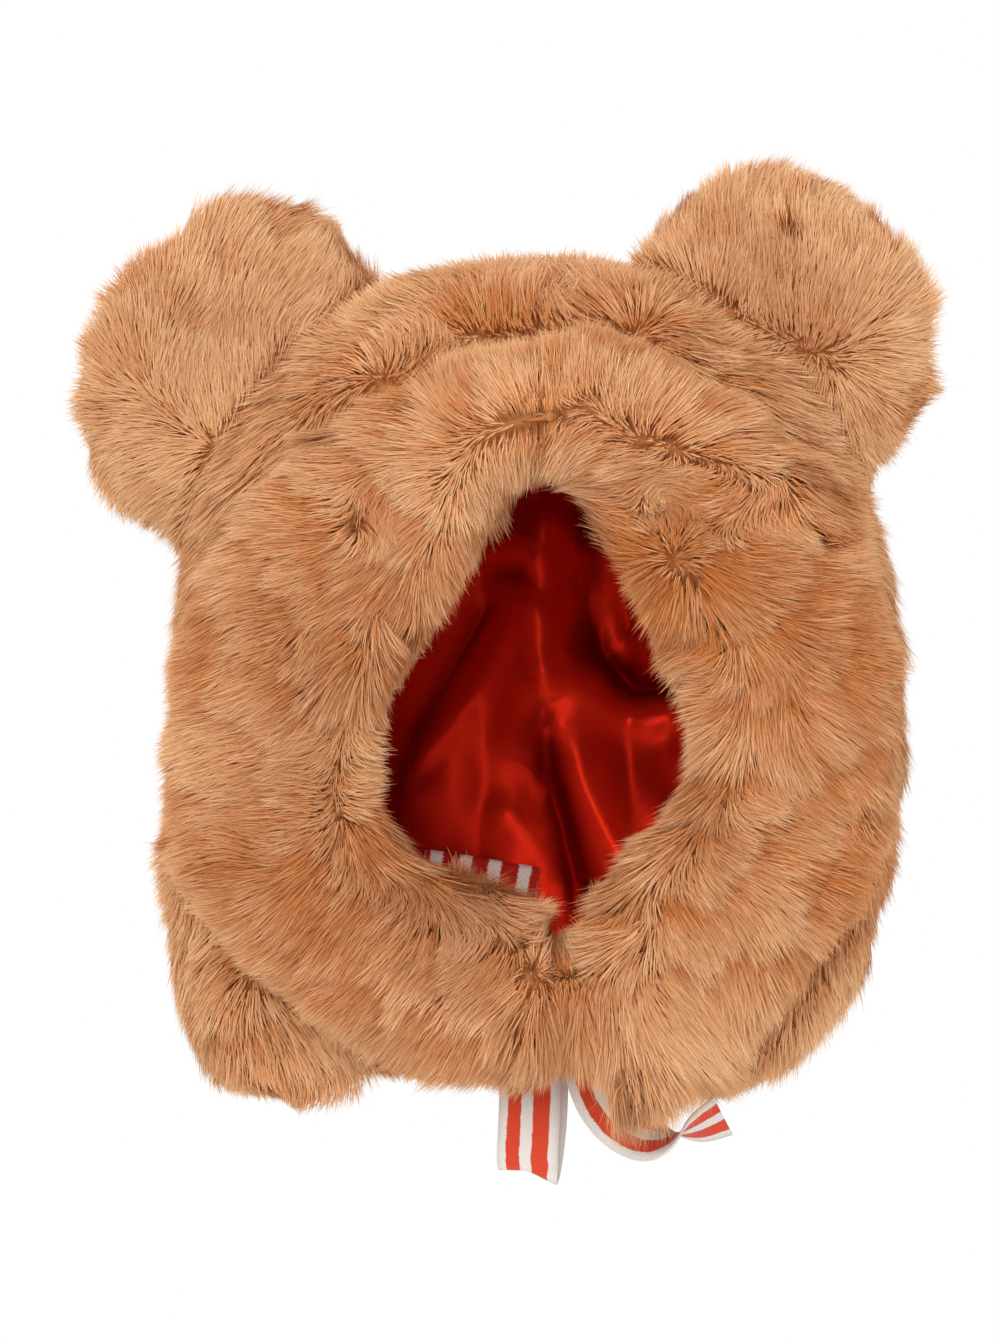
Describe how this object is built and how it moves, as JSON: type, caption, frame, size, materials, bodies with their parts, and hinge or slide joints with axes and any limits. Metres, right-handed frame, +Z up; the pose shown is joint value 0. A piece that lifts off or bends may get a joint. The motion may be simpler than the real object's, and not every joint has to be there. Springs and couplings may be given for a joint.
{
  "type": "animal ear hat",
  "caption": "Deep faux fur bonnet with round stuffed ears, a padded fur band round the face, satin lining and striped ribbon ties.",
  "frame": {"origin": "the highest point inside the lining, where the crown of the wearer's head meets it", "axes": "+Z up along the head, the face opening looks along -Y, +X to the right seen from the front"},
  "size_m": [0.3171, 0.2496, 0.3634],
  "materials": {
    "fur": "deep apricot faux fur, soft pile about 15 mm long in loose locks",
    "satin": "glossy red satin",
    "striped_ribbon": "matt woven cotton ribbon, red and off-white stripes"
  },
  "bodies": {
    "root": {"hood": "fur", "face_ruff": "fur", "ear_left": "fur", "ear_right": "fur", "lining": "satin", "neck_patch": "striped_ribbon", "tie_left": "striped_ribbon", "tie_right": "striped_ribbon"}
  },
  "joints": []
}
